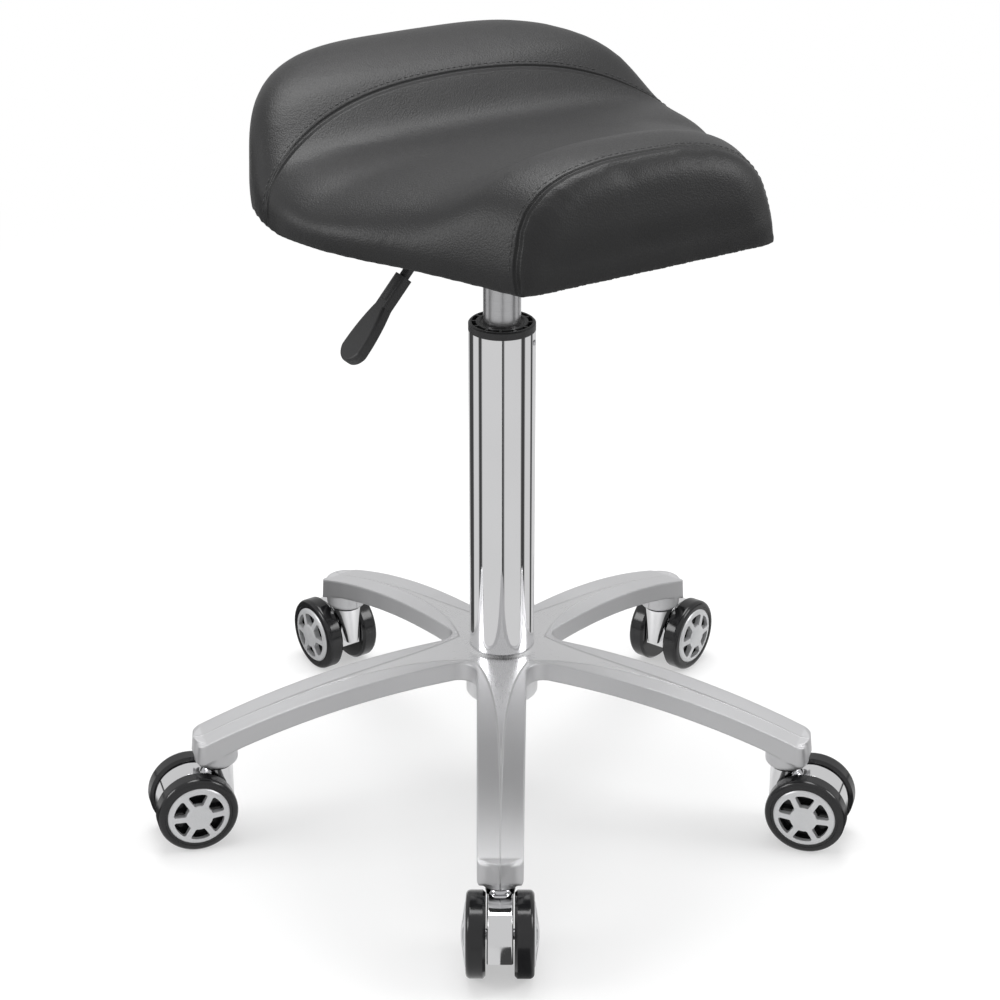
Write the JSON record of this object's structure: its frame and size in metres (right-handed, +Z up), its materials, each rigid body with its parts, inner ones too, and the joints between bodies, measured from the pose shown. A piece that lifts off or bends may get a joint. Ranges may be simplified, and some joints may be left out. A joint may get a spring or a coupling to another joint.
{
  "type": "saddle stool",
  "caption": "Height-adjustable saddle stool: contoured padded seat, gas lift column and arched star base on twin-wheel casters.",
  "frame": {"origin": "on the floor under the column's axis", "axes": "+Z up along the column; -Y points along the front arm of the base; the seat faces 32 degrees from it towards +X"},
  "size_m": [0.547, 0.5206, 0.5792],
  "materials": {
    "satin_aluminium": "satin, bright on the rounded edges",
    "chrome_tube": "mirror chrome",
    "satin_steel": "finely ground",
    "black_plastic": "moulded, satin",
    "bright_steel": "bright zinc plate",
    "brass": "turned",
    "black_rubber": "moulded",
    "grey_plastic": "moulded",
    "aluminium": "turned",
    "black_steel": "powder coat",
    "plywood": "raw",
    "black_cloth": "spun-bonded",
    "black_leatherette": "fine grain, soft sheen",
    "chrome_hood": "plated",
    "gloss_black": "polished moulding",
    "silver_plastic": "silver paint"
  },
  "bodies": {
    "base": {"base_casting": "satin_aluminium", "column_tube": "chrome_tube", "guide_bush": "black_plastic", "bush_pins": "bright_steel", "bearing_lower_race": "bright_steel", "bearing_cage": "brass", "bearing_balls": "bright_steel", "caster_stems": "bright_steel", "stem_grip_rings": "bright_steel", "stem_washers": "black_rubber"},
    "piston": {"bearing_upper_race": "bright_steel", "rubber_buffer": "black_rubber", "piston_rod": "bright_steel", "rod_washer": "bright_steel", "rod_clip": "bright_steel", "piston_head": "aluminium", "piston_seal": "black_rubber"},
    "seat": {"gas_cylinder": "satin_steel", "cylinder_gland": "grey_plastic", "seat_mechanism": "black_steel", "plate_bolts": "bright_steel", "tee_nuts": "bright_steel", "lever_pin": "bright_steel", "seat_board": "plywood", "dust_cover": "black_cloth", "seat_cushion": "black_leatherette"},
    "lever": {"lever_rod": "black_steel", "lever_handle": "black_plastic"},
    "valve": {"valve_button": "bright_steel"},
    "caster_1": {"caster_1_hood": "chrome_hood", "caster_1_axle": "bright_steel"},
    "caster_1_left": {"caster_1_wheel_left": "gloss_black", "caster_1_cap_left": "silver_plastic"},
    "caster_1_right": {"caster_1_wheel_right": "gloss_black", "caster_1_cap_right": "silver_plastic"},
    "caster_2": {"caster_2_hood": "chrome_hood", "caster_2_axle": "bright_steel"},
    "caster_2_left": {"caster_2_wheel_left": "gloss_black", "caster_2_cap_left": "silver_plastic"},
    "caster_2_right": {"caster_2_wheel_right": "gloss_black", "caster_2_cap_right": "silver_plastic"},
    "caster_3": {"caster_3_hood": "chrome_hood", "caster_3_axle": "bright_steel"},
    "caster_3_left": {"caster_3_wheel_left": "gloss_black", "caster_3_cap_left": "silver_plastic"},
    "caster_3_right": {"caster_3_wheel_right": "gloss_black", "caster_3_cap_right": "silver_plastic"},
    "caster_4": {"caster_4_hood": "chrome_hood", "caster_4_axle": "bright_steel"},
    "caster_4_left": {"caster_4_wheel_left": "gloss_black", "caster_4_cap_left": "silver_plastic"},
    "caster_4_right": {"caster_4_wheel_right": "gloss_black", "caster_4_cap_right": "silver_plastic"},
    "caster_5": {"caster_5_hood": "chrome_hood", "caster_5_axle": "bright_steel"},
    "caster_5_left": {"caster_5_wheel_left": "gloss_black", "caster_5_cap_left": "silver_plastic"},
    "caster_5_right": {"caster_5_wheel_right": "gloss_black", "caster_5_cap_right": "silver_plastic"}
  },
  "joints": [
    {"name": "seat_swivel", "type": "hinge", "parent": "base", "child": "piston", "pos_m": [0, 0, 0.09], "axis": [0, 0, 1], "continuous": true},
    {"name": "seat_lift", "type": "slide", "parent": "piston", "child": "seat", "axis": [0, 0, 1], "range_m": [-0.04, 0.16]},
    {"name": "lever_pivot", "type": "hinge", "parent": "seat", "child": "lever", "pos_m": [-0.0212, -0.01325, 0.48085], "axis": [-0.5299, 0.848, 0], "range_deg": [0, 6.8]},
    {"name": "valve_press", "type": "slide", "parent": "seat", "child": "valve", "axis": [0, 0, -1], "range_m": [0, 0.0034]},
    {"name": "caster_1_swivel", "type": "hinge", "parent": "base", "child": "caster_1", "pos_m": [0, -0.2297, 0.06], "axis": [0, 0, 1], "continuous": true},
    {"name": "caster_1_left_spin", "type": "hinge", "parent": "caster_1", "child": "caster_1_left", "pos_m": [0, -0.2497, 0.031], "axis": [1, 0, 0], "continuous": true},
    {"name": "caster_1_right_spin", "type": "hinge", "parent": "caster_1", "child": "caster_1_right", "pos_m": [0, -0.2497, 0.031], "axis": [1, 0, 0], "continuous": true},
    {"name": "caster_2_swivel", "type": "hinge", "parent": "base", "child": "caster_2", "pos_m": [0.21846, -0.07098, 0.06], "axis": [0, 0, 1], "continuous": true},
    {"name": "caster_2_left_spin", "type": "hinge", "parent": "caster_2", "child": "caster_2_left", "pos_m": [0.23748, -0.07716, 0.031], "axis": [0.309, 0.9511, 0], "continuous": true},
    {"name": "caster_2_right_spin", "type": "hinge", "parent": "caster_2", "child": "caster_2_right", "pos_m": [0.23748, -0.07716, 0.031], "axis": [0.309, 0.9511, 0], "continuous": true},
    {"name": "caster_3_swivel", "type": "hinge", "parent": "base", "child": "caster_3", "pos_m": [0.13501, 0.18583, 0.06], "axis": [0, 0, 1], "continuous": true},
    {"name": "caster_3_left_spin", "type": "hinge", "parent": "caster_3", "child": "caster_3_left", "pos_m": [0.14677, 0.20201, 0.031], "axis": [-0.809, 0.5878, 0], "continuous": true},
    {"name": "caster_3_right_spin", "type": "hinge", "parent": "caster_3", "child": "caster_3_right", "pos_m": [0.14677, 0.20201, 0.031], "axis": [-0.809, 0.5878, 0], "continuous": true},
    {"name": "caster_4_swivel", "type": "hinge", "parent": "base", "child": "caster_4", "pos_m": [-0.13501, 0.18583, 0.06], "axis": [0, 0, 1], "continuous": true},
    {"name": "caster_4_left_spin", "type": "hinge", "parent": "caster_4", "child": "caster_4_left", "pos_m": [-0.14677, 0.20201, 0.031], "axis": [-0.809, -0.5878, 0], "continuous": true},
    {"name": "caster_4_right_spin", "type": "hinge", "parent": "caster_4", "child": "caster_4_right", "pos_m": [-0.14677, 0.20201, 0.031], "axis": [-0.809, -0.5878, 0], "continuous": true},
    {"name": "caster_5_swivel", "type": "hinge", "parent": "base", "child": "caster_5", "pos_m": [-0.21846, -0.07098, 0.06], "axis": [0, 0, 1], "continuous": true},
    {"name": "caster_5_left_spin", "type": "hinge", "parent": "caster_5", "child": "caster_5_left", "pos_m": [-0.23748, -0.07716, 0.031], "axis": [0.309, -0.9511, 0], "continuous": true},
    {"name": "caster_5_right_spin", "type": "hinge", "parent": "caster_5", "child": "caster_5_right", "pos_m": [-0.23748, -0.07716, 0.031], "axis": [0.309, -0.9511, 0], "continuous": true}
  ],
  "couplings": [
    {"joint": "valve_press", "follows": "lever_pivot", "m_per_rad": 0.028}
  ]
}
